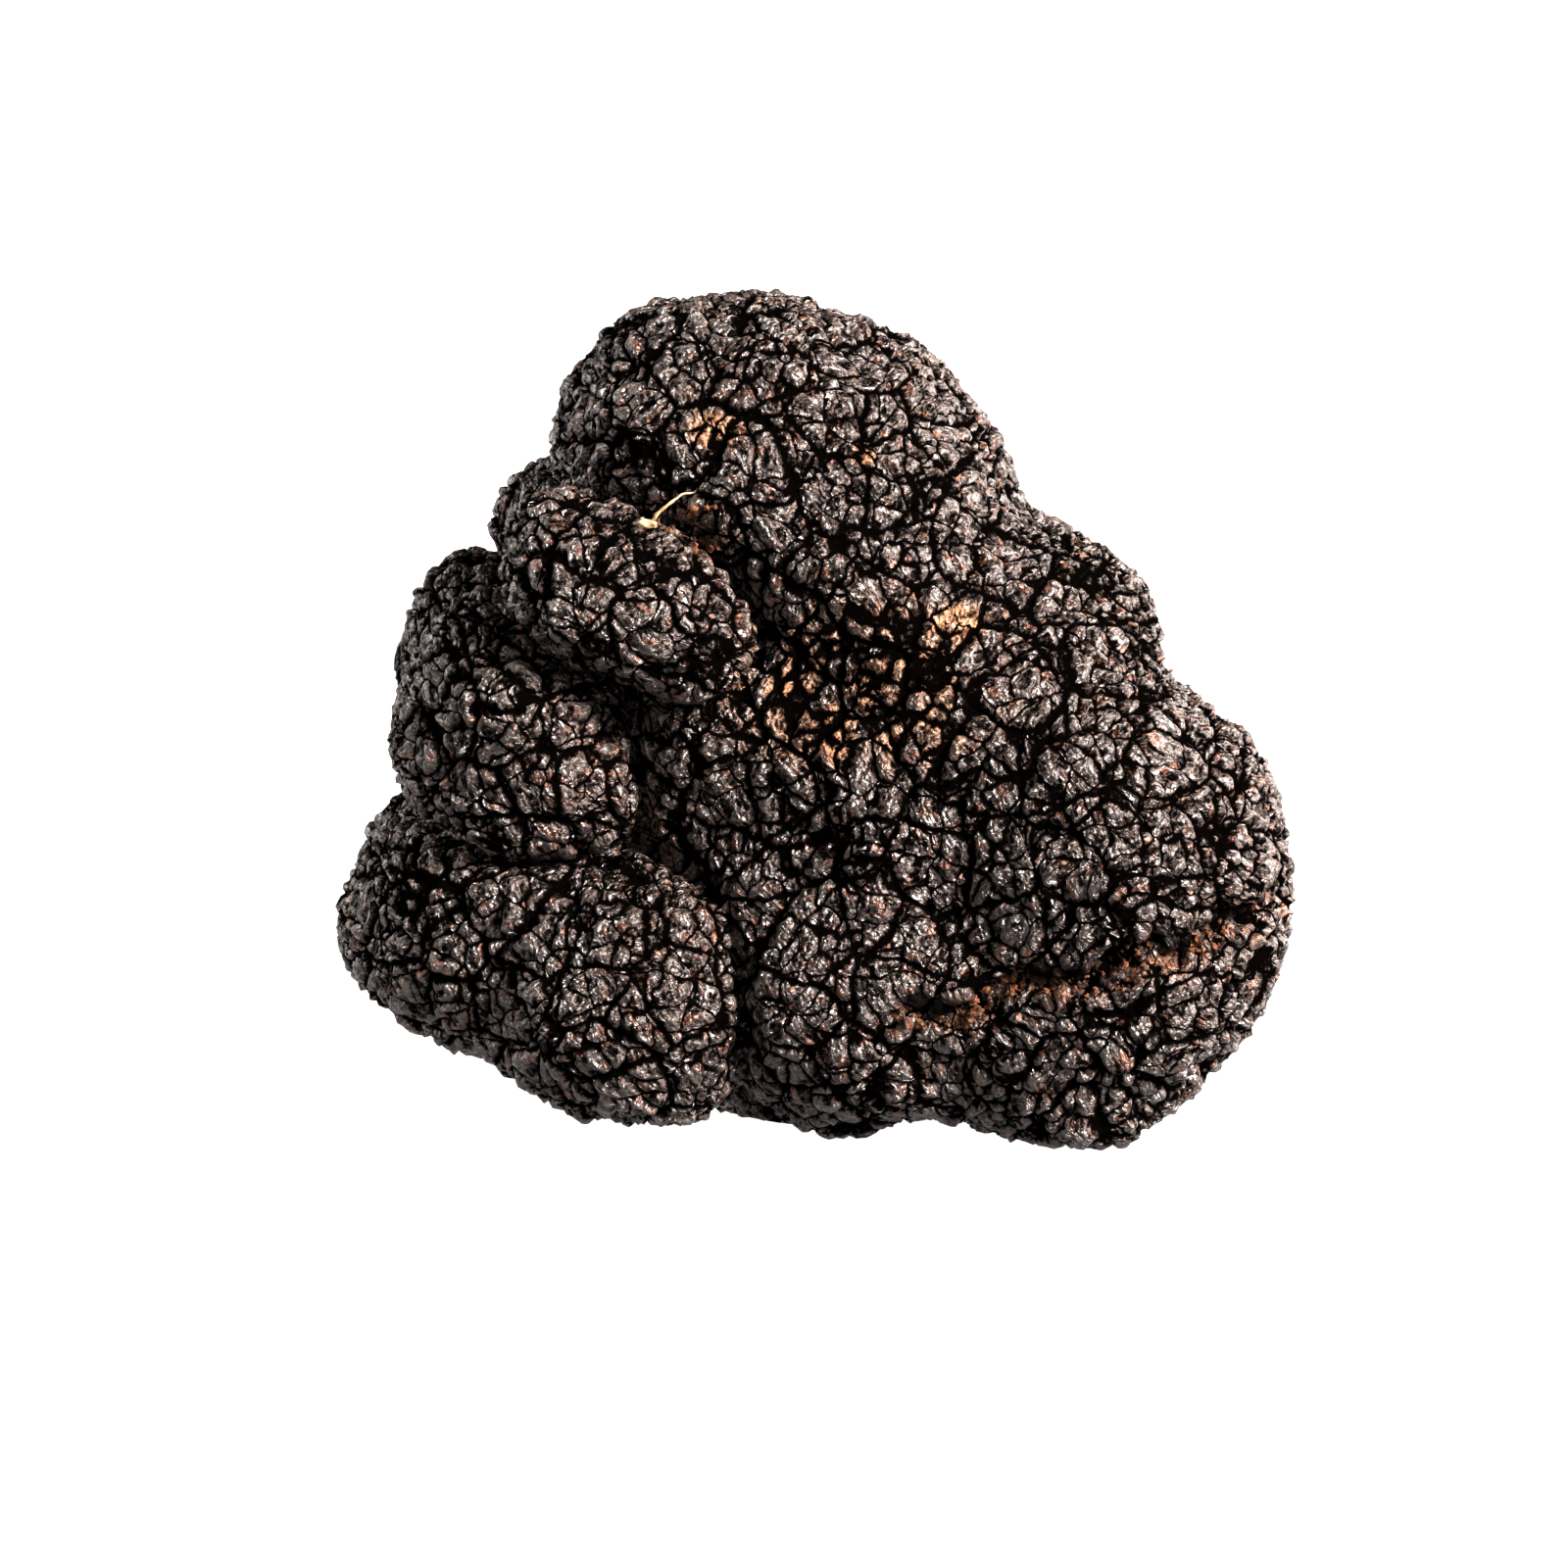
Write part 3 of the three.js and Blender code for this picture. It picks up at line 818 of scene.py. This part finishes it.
@dataclass(frozen=True)
class SkinFinish:
    """Near-black skin: cracks and low places painted matt black as shade, grey-brown glossy tops painted
    lighter as sheen, and tan and rust-coloured soil stains.

    Colours come first, then the edges between which each of them rises, then the gloss, and last where
    the groove's painted shade and its rust lie above and below its line, in mm.
    """

    pattern: WartPattern
    # hollow is the colour of the matt black painted shade in the cracks, the low places and the groove's
    # bottom.
    hollow: Triple = (0.0016, 0.001, 0.0008)
    # low, middle and high run from painted shade in the low places of the warts to a painted sheen on their
    # tops.
    low: Triple = (0.0045, 0.0023, 0.0015)
    middle: Triple = (0.03, 0.015, 0.0105)
    high: Triple = (0.062, 0.049, 0.044)
    tan: Triple = (0.21, 0.106, 0.055)
    rust: Triple = (0.11, 0.043, 0.018)
    fleck: Triple = (0.13, 0.045, 0.02)
    valley_shade_edge: tuple[float, float] = (0.0, 0.45)
    sheen_edge: tuple[float, float] = (0.25, 1.0)
    sheen_least: float = 0.35
    painted_shade_edge: tuple[float, float] = (0.1, 0.58)
    crack_shade_share: float = 0.97
    fleck_edge: tuple[float, float] = (0.82, 0.88)
    fleck_grain: tuple[float, float] = (0.4, 0.55)
    fleck_share: float = 0.6
    roughness: float = 0.46
    roughness_spread: float = 0.4
    soil_roughness: float = 0.35
    specular: float = 0.75
    coat: float = 0.18
    coat_roughness: float = 0.22
    shade_above: float = 0.5
    shade_width: float = 0.75
    rust_below: float = 0.4
    rust_width: float = 1.5

    def made(self) -> bpy.types.Material:
        """Makes the material.

        Returns:
            The material.
        """
        material, sheet = new_material("truffle_skin")
        source = sheet.node("ShaderNodeAttribute", {"attribute_name": SKIN_PLACE}, {})
        place = SocketVector(sheet, source.outputs["Vector"])
        relief = self.pattern.relief(sheet, place)
        # Painted sheen: the tops are mixed to the lighter high colour, and they also get more coat.
        sheen_tops = relief.level.rise(*self.sheen_edge)
        sheen_tops = sheen_tops * (self.sheen_least + (1 - self.sheen_least) * relief.facet.part(2))
        tan = self._tan(place, relief)
        rust = self._rust(sheet, place, relief.level)
        soil = (tan + rust).least(1.0)
        bump = sheet.node("ShaderNodeBump", {}, {"Strength": 1.0, "Distance": MM, "Height": relief.grain})
        skin = sheet.node(
            "ShaderNodeBsdfPrincipled",
            {},
            {
                "Base Color": self._colour(sheet, relief, (sheen_tops, tan, rust)),
                "Roughness": self.roughness
                + (relief.rough - 0.5) * self.roughness_spread
                + soil * self.soil_roughness,
                "Specular IOR Level": self.specular,
                "Coat Weight": sheen_tops * self.coat,
                "Coat Roughness": self.coat_roughness,
                "Normal": bump.outputs[0],
            },
        )
        # A matt black shader without gloss: painted shade for the cracks, the low places and the groove's
        # bottom.
        dark = sheet.node(
            "ShaderNodeBsdfPrincipled",
            {},
            {"Base Color": (*self.hollow, 1.0), "Roughness": 1.0, "Specular IOR Level": 0.0},
        )
        # Painted shade: where the cracks, the low places of the warts and the groove's bottom are, the skin
        # is mixed to that black shader.
        painted_shade = (relief.crack * self.crack_shade_share).most(1.0 - relief.level.rise(*self.painted_shade_edge))
        painted_shade = painted_shade.most(self._groove_shade(sheet, place))
        both = sheet.node("ShaderNodeMixShader", {}, {0: painted_shade, 1: skin.outputs[0], 2: dark.outputs[0]})
        sheet.surface(both)
        return material

    def _colour(
        self, sheet: NodeSheet, relief: Relief, shares: tuple[SocketNumber, SocketNumber, SocketNumber]
    ) -> SocketVector:
        """The skin's colour.

        Args:
            sheet: the node sheet.
            relief: the relief there.
            shares: the shares of the painted sheen on the tops, of tan soil and of rust.

        Returns:
            The colour.
        """
        # Painted shade: darker in the low places of the warts; the painted sheen on the tops is mixed in
        # next.
        colour = sheet.mixed(relief.level.rise(*self.valley_shade_edge), self.low, self.middle)
        for share, stain in zip(shares, (self.high, self.tan, self.rust)):
            colour = sheet.mixed(share, colour, stain)
        flecks = relief.facet.part(0).rise(*self.fleck_edge) * relief.rough.rise(*self.fleck_grain)
        return sheet.mixed(flecks * self.fleck_share, colour, self.fleck)

    @staticmethod
    def _groove(place: SocketVector) -> tuple[SocketNumber, SocketNumber]:
        """Where a place lies by the groove.

        Args:
            place: where, in mm.

        Returns:
            How far above the groove's line it is, in mm, and how strong the groove is there.
        """
        body = FruitBody()
        wander = ((place.part(0) + place.part(1)) * body.furrow_turns).sine() * body.furrow_wander
        away = place - GROOVE.on
        return away.dot(GROOVE.across) + wander, 1.0 - away.length().rise(0.6 * GROOVE.reach, GROOVE.reach)

    def _groove_shade(self, sheet: NodeSheet, place: SocketVector) -> SocketNumber:
        """The painted shade in the groove's bottom, from 0 to 1."""
        side, near = self._groove(place)
        shade = (side - self.shade_above).bell(self.shade_width) * near
        return shade * sheet.grain(place, 1.4).rise(0.28, 0.46)

    def _tan(self, place: SocketVector, relief: Relief) -> SocketNumber:
        """The share of tan soil on the tips of the warts.

        Args:
            place: where, in mm.
            relief: the relief there.

        Returns:
            The share, from 0 to 1.
        """
        thin = relief.lump.part(0).rise(0.3, 0.6) * (0.25 + 0.6 * relief.facet.part(1))
        share = self.pattern.patch(place, Patch.SADDLE) * thin
        for which in TAN_PLACES:
            share = share.most(self.pattern.patch(place, which))
        return (share * relief.bulge.rise(0.03, 0.35) * relief.rough.rise(0.28, 0.46)).least(0.95)

    def _rust(self, sheet: NodeSheet, place: SocketVector, level: SocketNumber) -> SocketNumber:
        """The share of rust-coloured soil in the groove and the soil bed.

        Args:
            sheet: the node sheet.
            place: where, in mm.
            level: how high on a lump it is, from 0 to 1.

        Returns:
            The share, from 0 to 1.
        """
        side, near = self._groove(place)
        cloud = sheet.grain(place, 1.5, 3.0).rise(0.4, 0.62)
        groove = (side + self.rust_below).bell(self.rust_width) * near * cloud
        bed = self.pattern.patch(place, Patch.SOIL_BED) * cloud * 0.7
        bed = bed.most(self.pattern.patch(place, Patch.RUSTY_PIT) * 0.8)
        return groove.most(bed) * level.rise(0.05, 0.4)


@dataclass(frozen=True)
class PlainFinish:
    """A matt natural stuff with a mottled colour and a rough grain.

    Attributes:
        name: the material's name.
        dark: the darker of its two colours.
        light: the lighter of its two colours.
        blotch: the size of its mottling, in mm.
        roughness: how matt it is.
        specular: how much it reflects.
    """

    name: str
    dark: Triple
    light: Triple
    blotch: float
    roughness: float
    specular: float = 0.3

    def made(self) -> bpy.types.Material:
        """Makes the material.

        Returns:
            The material.
        """
        material, sheet = new_material(self.name)
        source = sheet.node("ShaderNodeTexCoord", {}, {})
        place = SocketVector(sheet, source.outputs["Object"]) * (1 / MM)
        cloud = sheet.grain(place, self.blotch, 3.0)
        height = cloud * 0.3 * self.blotch
        bump = sheet.node("ShaderNodeBump", {}, {"Strength": 0.6, "Distance": MM, "Height": height})
        finish = sheet.node(
            "ShaderNodeBsdfPrincipled",
            {},
            {
                "Base Color": sheet.mixed(cloud.rise(0.35, 0.65), self.dark, self.light),
                "Roughness": self.roughness + (cloud - 0.5) * 0.2,
                "Specular IOR Level": self.specular,
                "Normal": bump.outputs[0],
            },
        )
        sheet.surface(finish)
        return material


SOIL = PlainFinish("soil", dark=(0.01, 0.005, 0.003), light=(0.11, 0.047, 0.021), blotch=0.9, roughness=0.75)
STRAW = PlainFinish(
    "root_fibre", dark=(0.14, 0.095, 0.055), light=(0.28, 0.215, 0.14), blotch=0.7, roughness=0.7
)


# The pieces.


def linked(name: str, data: bpy.types.ID) -> bpy.types.Object:
    """Puts a new object in the scene.

    Args:
        name: the object's name.
        data: its mesh, light or camera.

    Returns:
        The object.
    """
    made = bpy.data.objects.new(name, data)
    bpy.context.scene.collection.objects.link(made)
    return made


def applied(piece: bpy.types.Object) -> None:
    """Makes a piece's modifiers part of its mesh.

    Args:
        piece: the piece.
    """
    graph = bpy.context.evaluated_depsgraph_get()
    mesh = bpy.data.meshes.new_from_object(
        piece.evaluated_get(graph), preserve_all_data_layers=True, depsgraph=graph
    )
    piece.modifiers.clear()
    old = piece.data
    piece.data = mesh
    bpy.data.meshes.remove(old)
    mesh.name = piece.name


def triples(source: bpy.types.bpy_prop_collection, name: str) -> np.ndarray:
    """Reads one triple of each item of a collection.

    Args:
        source: the collection.
        name: what the triple is called.

    Returns:
        The triples, N by 3.
    """
    flat = np.empty(len(source) * 3, np.float32)
    source.foreach_get(name, flat)
    return flat.reshape(-1, 3)


def write_points(mesh: bpy.types.Mesh, points: np.ndarray) -> None:
    """Moves the mesh's vertices.

    Args:
        mesh: the mesh.
        points: a place for each vertex.
    """
    mesh.vertices.foreach_set("co", points.astype(np.float32).ravel())
    mesh.update()


@dataclass
class TruffleSkin:
    """The whole skin: the smooth body, raised into warts and thinned to what the shape needs.

    Sizes are in mm. The warts are lower where the lobes meet and fade out where the truffle rests.
    """

    body: FruitBody
    pattern: WartPattern
    finish: SkinFinish
    net_step: float = 0.42
    triangles: int = 197000
    crease_fade: float = 1.6
    crease_least: float = 0.35
    floor_fade: float = 0.8

    def build(self) -> bpy.types.Object:
        """Builds the skin's mesh and dresses it.

        Returns:
            The piece.
        """
        corners, squares = self.body.net(self.net_step)
        LOG.info("skin: net of %d squares", len(squares))
        mesh = bpy.data.meshes.new("truffle_skin")
        mesh.from_pydata(corners, [], squares)
        piece = linked("truffle_skin", mesh)
        self._settle(piece.data)
        finer = piece.modifiers.new("finer", "SUBSURF")
        finer.levels = 1
        finer.render_levels = 1
        applied(piece)
        self._settle(piece.data)
        self._raise_warts(piece)
        thinner = piece.modifiers.new("thinner", "DECIMATE")
        thinner.ratio = self.triangles / (2 * len(piece.data.polygons))
        thinner.use_collapse_triangulate = True
        applied(piece)
        LOG.info("skin: %d triangles", len(piece.data.polygons))
        piece.data.transform(Matrix.Scale(MM, 4) @ Matrix.Translation(PART_SHIFT))
        piece.data.shade_smooth()
        piece.data.materials.append(self.finish.made())
        return piece

    def _settle(self, mesh: bpy.types.Mesh) -> None:
        """Moves a mesh onto the smooth body."""
        normals = triples(mesh.vertex_normals, "vector")
        write_points(mesh, self.body.settled(triples(mesh.vertices, "co"), normals))

    def _raise_warts(self, piece: bpy.types.Object) -> None:
        """Raises the warts from the smooth body.

        Args:
            piece: the smooth body, in mm.
        """
        base = triples(piece.data.vertices, "co")
        out = triples(piece.data.vertex_normals, "vector")
        height = self._heights(piece)
        lead = np.clip(self.body.crease_lead(base) / self.crease_fade, 0, 1)
        height *= self.crease_least + (1 - self.crease_least) * lead
        height *= np.clip(base[:, 2] / self.floor_fade, 0, 1)
        points = base + out * height[:, None]
        points[:, 2] = np.maximum(points[:, 2], 0)
        write_points(piece.data, points)
        LOG.info("skin: warts raised at %d points", len(points))

    def _heights(self, piece: bpy.types.Object) -> np.ndarray:
        """Works out how high the warts are and notes each point's place on the smooth body.

        Args:
            piece: the smooth body, in mm.

        Returns:
            The height at each point, in mm.
        """
        tree = bpy.data.node_groups.new("warts", "GeometryNodeTree")
        for way in ("INPUT", "OUTPUT"):
            tree.interface.new_socket("Geometry", in_out=way, socket_type="NodeSocketGeometry")
        sheet = NodeSheet(tree)
        noted = sheet.node("NodeGroupInput", {}, {}).outputs[0]
        place = SocketVector(sheet, sheet.node("GeometryNodeInputPosition", {}, {}).outputs[0])
        shape = self.pattern.relief(sheet, place).shape
        for name, kind, value in ((SKIN_PLACE, "FLOAT_VECTOR", place), (WART_HEIGHT, "FLOAT", shape)):
            settings = {"data_type": kind, "domain": "POINT"}
            inputs = {"Geometry": noted, "Name": name, "Value": value}
            noted = sheet.node("GeometryNodeStoreNamedAttribute", settings, inputs).outputs[0]
        sheet.node("NodeGroupOutput", {}, {0: noted})
        piece.modifiers.new("warts", "NODES").node_group = tree
        applied(piece)
        bpy.data.node_groups.remove(tree)
        kept = piece.data.attributes[WART_HEIGHT]
        height = np.empty(len(kept.data), np.float32)
        kept.data.foreach_get("value", height)
        piece.data.attributes.remove(kept)
        return height


@dataclass
class SoilCrumbs:
    """Small crumbs of soil that cling to the lower lip of the groove and to the bed above the knob.

    Sizes are in mm. The lip lies between two distances from the groove's line, where the groove is strong
    enough. Most crumbs are small, and each is jagged and squashed by chance.
    """

    skin: bpy.types.Object
    body: FruitBody
    finish: PlainFinish
    clumps: int = 16
    clump_reach: float = 1.5
    in_groove: int = 200
    in_bed: int = 70
    lip: tuple[float, float] = (-1.7, 0.4)
    lip_strength: float = 0.6
    bed_reach: float = 0.8
    smallest: float = 0.11
    largest: float = 0.48
    size_power: float = 2.5
    jag: tuple[float, float] = (-0.4, 0.3)
    squash: tuple[float, float] = (0.5, 1.3)
    seed: int = 11

    def build(self) -> bpy.types.Object:
        """Scatters the crumbs over the skin's finished surface.

        Returns:
            The piece.
        """
        points = triples(self.skin.data.vertices, "co")
        chance = np.random.default_rng(self.seed)
        spots = self._spots(chance)
        ball = bmesh.new()
        bmesh.ops.create_icosphere(ball, subdivisions=2, radius=1.0)
        form = np.array([vertex.co[:] for vertex in ball.verts])
        faces = np.array([[vertex.index for vertex in face.verts] for face in ball.faces])
        ball.free()
        corners = [self._crumb(form, chance) + points[spot] for spot in spots]
        numbers = np.concatenate([faces + k * len(form) for k in range(len(spots))])
        crumbs = bpy.data.meshes.new("soil_crumbs")
        crumbs.from_pydata(np.concatenate(corners), [], numbers)
        crumbs.materials.append(self.finish.made())
        return linked("soil_crumbs", crumbs)

    def _spots(self, chance: np.random.Generator) -> np.ndarray:
        """Chooses the corners of the skin that crumbs sit on.

        Args:
            chance: the source of chance.

        Returns:
            Their numbers.
        """
        places = triples(self.skin.data.attributes[SKIN_PLACE].data, "vector")
        lip = self._lip(places)
        clumps = places[chance.choice(lip, self.clumps)]
        near = np.min(np.linalg.norm(places[lip][:, None] - clumps[None], axis=2), axis=1)
        lip = lip[near < self.clump_reach]
        bed = chance.choice(self._bed(places), self.in_bed, replace=False)
        return np.concatenate([chance.choice(lip, self.in_groove, replace=False), bed])

    def _lip(self, places: np.ndarray) -> np.ndarray:
        """Numbers of the skin's corners on the lower lip of the groove."""
        side, strength = (at(GROOVE, places) for at in (self.body.furrow_side, self.body.furrow_strength))
        return np.flatnonzero((side > self.lip[0]) & (side < self.lip[1]) & (strength > self.lip_strength))

    def _bed(self, places: np.ndarray) -> np.ndarray:
        """Numbers of the skin's corners in the soil bed."""
        middle, half = (np.array(one, np.float32) for one in Patch.SOIL_BED.value)
        return np.flatnonzero((((places - middle) / half) ** 2).sum(1) < self.bed_reach)

    def _crumb(self, form: np.ndarray, chance: np.random.Generator) -> np.ndarray:
        """Shapes one crumb about its own middle.

        Args:
            form: the corners of a ball of radius 1.
            chance: the source of chance.

        Returns:
            The crumb's corners, in metres.
        """
        size = (self.smallest + (self.largest - self.smallest) * chance.random() ** self.size_power) * MM
        turn = np.linalg.qr(chance.normal(size=(3, 3)))[0]
        lumpy = form * (1 + chance.uniform(*self.jag, (len(form), 1))) * chance.uniform(*self.squash, 3)
        return lumpy @ turn * size


@dataclass
class RootFibre:
    """A dry root fibre that lies over the crevice between the knob and the crown, with a pale crumb.

    Sizes are in mm. The fibre has knots, and its ends are seated in the skin by a share of its radius.
    """

    skin: bpy.types.Object
    finish: PlainFinish
    path: tuple[Triple, ...] = (
        (-12.3, -11.7, 47.3),
        (-11.3, -11.3, 48.2),
        (-10.2, -10.8, 49.0),
        (-9.1, -10.0, 49.7),
    )
    smoothings: int = 4
    thick: float = 0.17
    thin: float = 0.07
    knot_turns: float = 37.0
    knot_height: float = 0.12
    seat: float = 0.7
    end_share: float = 0.2
    steps: int = 24
    sides: int = 8
    crumb_half: Triple = (0.85, 0.42, 0.36)
    crumb_turns: Triple = (5.0, 4.0, 3.0)
    crumb_lump: float = 0.2
    crumb_seat: float = 0.4

    def build(self) -> bpy.types.Object:
        """Builds the fibre and its crumb on the skin's finished surface.

        Returns:
            The piece.
        """
        under = self.skin.data
        corners = [vertex.co for vertex in under.vertices]
        tree = BVHTree.FromPolygons(corners, [face.vertices for face in under.polygons])
        line = self._line()
        form = bmesh.new()
        self._add_thread(form, tree, line)
        self._add_crumb(form, tree, Vector(line[0]))
        bmesh.ops.recalc_face_normals(form, faces=form.faces)
        mesh = bpy.data.meshes.new("root_fibre")
        form.to_mesh(mesh)
        form.free()
        mesh.shade_smooth()
        mesh.materials.append(self.finish.made())
        return linked("root_fibre", mesh)

    def _line(self) -> np.ndarray:
        """Works out the fibre's smoothed middle line.

        Returns:
            Its points, in metres.
        """
        share = np.linspace(0, 1, self.steps)
        ends = np.linspace(0, 1, len(self.path))
        path = np.array(self.path) + np.array(PART_SHIFT)
        line = np.stack([np.interp(share, ends, path[:, a]) for a in range(3)], 1) * MM
        for _ in range(self.smoothings):
            line[1:-1] = (line[:-2] + 2 * line[1:-1] + line[2:]) / 4
        return line

    def _add_thread(self, form: bmesh.types.BMesh, tree: BVHTree, line: np.ndarray) -> None:
        """Adds the round thread, free in its middle and on the skin at its ends.

        Args:
            form: the mesh that it is added to.
            tree: the skin's surface.
            line: the thread's middle line, in metres.
        """
        share = np.linspace(0, 1, self.steps)
        radius = np.interp(share, [0, 1], [self.thick, self.thin]) * MM
        radius *= 1 + self.knot_height * np.sin(share * self.knot_turns)
        free = np.clip(np.minimum(share, 1 - share) / self.end_share, 0, 1)
        turns = [2 * math.pi * j / self.sides for j in range(self.sides)]
        rings = []
        for k, point in enumerate(line):
            on_skin, normal, _, _ = tree.find_nearest(Vector(point))
            middle = (on_skin + normal * radius[k] * self.seat).lerp(Vector(point), float(free[k]))
            along = Vector(line[min(k + 1, self.steps - 1)] - line[max(k - 1, 0)]).normalized()
            side = along.cross(normal).normalized()
            up = side.cross(along)
            ring = [middle + (side * math.cos(t) + up * math.sin(t)) * radius[k] for t in turns]
            rings.append([form.verts.new(corner) for corner in ring])
        for one, two in zip(rings, rings[1:]):
            for j in range(self.sides):
                following = (j + 1) % self.sides
                form.faces.new((one[j], one[following], two[following], two[j]))
        form.faces.new(rings[0][::-1])
        form.faces.new(rings[-1])

    def _add_crumb(self, form: bmesh.types.BMesh, tree: BVHTree, start: Vector) -> None:
        """Adds the pale crumb under the fibre's thick end.

        Args:
            form: the mesh that it is added to.
            tree: the skin's surface.
            start: where the fibre starts, in metres.
        """
        along_x, along_y, along_z = self.crumb_turns
        seat, normal, _, _ = tree.find_nearest(start)
        for vertex in bmesh.ops.create_icosphere(form, subdivisions=3, radius=1.0)["verts"]:
            x, y, z = vertex.co
            lumpy = 1 + self.crumb_lump * math.sin(along_x * x + along_z * z) * math.cos(along_y * y)
            vertex.co = Vector([c * h * MM for c, h in zip(vertex.co, self.crumb_half)]) * lumpy
            vertex.co += seat + normal * self.crumb_half[2] * MM * self.crumb_seat


# The studio.


@dataclass(frozen=True)
class Sun:
    """One wide soft light.

    Attributes:
        name: its name.
        towards: the direction from the truffle to the light.
        spread: how wide it looks, in degrees.
        strength: its strength.
        colour: its colour.
    """

    name: str
    towards: Triple
    spread: float
    strength: float
    colour: Triple

    def set_up(self) -> None:
        """Adds the light to the scene."""
        data = bpy.data.lights.new(self.name, "SUN")
        data.angle = math.radians(self.spread)
        data.energy = self.strength
        data.color = self.colour
        lamp = linked(self.name, data)
        lamp.location = Vector(self.towards).normalized()
        lamp.rotation_mode = "QUATERNION"
        lamp.rotation_quaternion = (-Vector(self.towards)).to_track_quat("-Z", "Y")


@dataclass
class Studio:
    """A pale floor, soft lights and the camera. Sizes in metres, angles in degrees."""

    target: Triple = (-0.002122, -0.00517, 0.0256)
    elevation: float = 12.0
    distance: float = 0.393
    lens: float = 120.0
    clip: tuple[float, float] = (0.01, 20.0)
    floor_half: float = 12.0
    floor_colour: Triple = (0.07, 0.073, 0.076)
    floor_roughness: float = 0.9
    floor_glow: Triple = (0.46, 0.46, 0.46)
    air: Triple = (1.0, 1.0, 1.0)
    air_strength: float = 0.1
    exposure: float = 1.2
    gamma: float = 0.7
    suns: tuple[Sun, ...] = (
        Sun("key", (0.8, -0.5, 0.54), 18.0, 11.0, (1.0, 0.98, 0.95)),
        Sun("fill", (-0.6, -0.75, 0.35), 50.0, 1.0, (1.0, 0.98, 0.96)),
        Sun("side", (0.9, 0.5, 0.3), 40.0, 2.5, (1.0, 0.96, 0.92)),
        Sun("back", (-1.0, 0.35, 0.4), 45.0, 2.4, (1.0, 0.98, 0.96)),
    )

    def build(self) -> None:
        """Sets the camera, lays the floor and sets the lights and the look."""
        self._set_camera()
        self._lay_floor()
        self._fill_air()
        for sun in self.suns:
            sun.set_up()
        look = bpy.context.scene.view_settings
        look.view_transform = "Standard"
        look.exposure = self.exposure
        look.gamma = self.gamma

    def _set_camera(self) -> None:
        """Puts the camera at the photograph's viewing angle."""
        data = bpy.data.cameras.new("camera")
        data.lens = self.lens
        data.clip_start, data.clip_end = self.clip
        camera = linked("camera", data)
        tilt = math.radians(self.elevation)
        back = Vector((0, -math.cos(tilt), math.sin(tilt)))
        camera.location = Vector(self.target) + back * self.distance
        camera.rotation_mode = "QUATERNION"
        camera.rotation_quaternion = (-back).to_track_quat("-Z", "Y")
        bpy.context.scene.camera = camera

    def _lay_floor(self) -> None:
        """Lays the pale floor."""
        half = self.floor_half
        corners = [(-half, -half, 0), (half, -half, 0), (half, half, 0), (-half, half, 0)]
        mesh = bpy.data.meshes.new("floor")
        mesh.from_pydata(corners, [], [(0, 1, 2, 3)])
        floor = linked("floor", mesh)
        material, sheet = new_material("floor")
        matt = sheet.node(
            "ShaderNodeBsdfPrincipled",
            {},
            {
                "Base Color": (*self.floor_colour, 1.0),
                "Roughness": self.floor_roughness,
                "Emission Color": (*self.floor_glow, 1.0),
                "Emission Strength": 1.0,
            },
        )
        sheet.surface(matt)
        mesh.materials.append(material)

    def _fill_air(self) -> None:
        """Gives the scene its dim, even light from all round."""
        world = bpy.data.worlds.new("air")
        world.use_nodes = True
        sky = NodeSheet(world.node_tree)
        air = sky.node("ShaderNodeBackground", {}, {"Color": (*self.air, 1.0), "Strength": self.air_strength})
        sky.node("ShaderNodeOutputWorld", {}, {"Surface": air.outputs[0]})
        bpy.context.scene.world = world


def main() -> None:
    """Builds the studio and the truffle's pieces in order and reports each."""
    logging.basicConfig(level=logging.INFO, format="%(asctime)s %(name)s: %(message)s")
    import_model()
    Studio().build()
    body = FruitBody()
    pattern = WartPattern()
    skin = TruffleSkin(body, pattern, SkinFinish(pattern)).build()
    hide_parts("truffle")
    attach(skin, "root")
    LOG.info("built %s", skin.name)
    crumbs = SoilCrumbs(skin, body, SOIL).build()
    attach(crumbs, "root")
    LOG.info("built %s", crumbs.name)
    fibre = RootFibre(skin, STRAW).build()
    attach(fibre, "root")
    LOG.info("built %s", fibre.name)


if __name__ == "__main__":
    main()
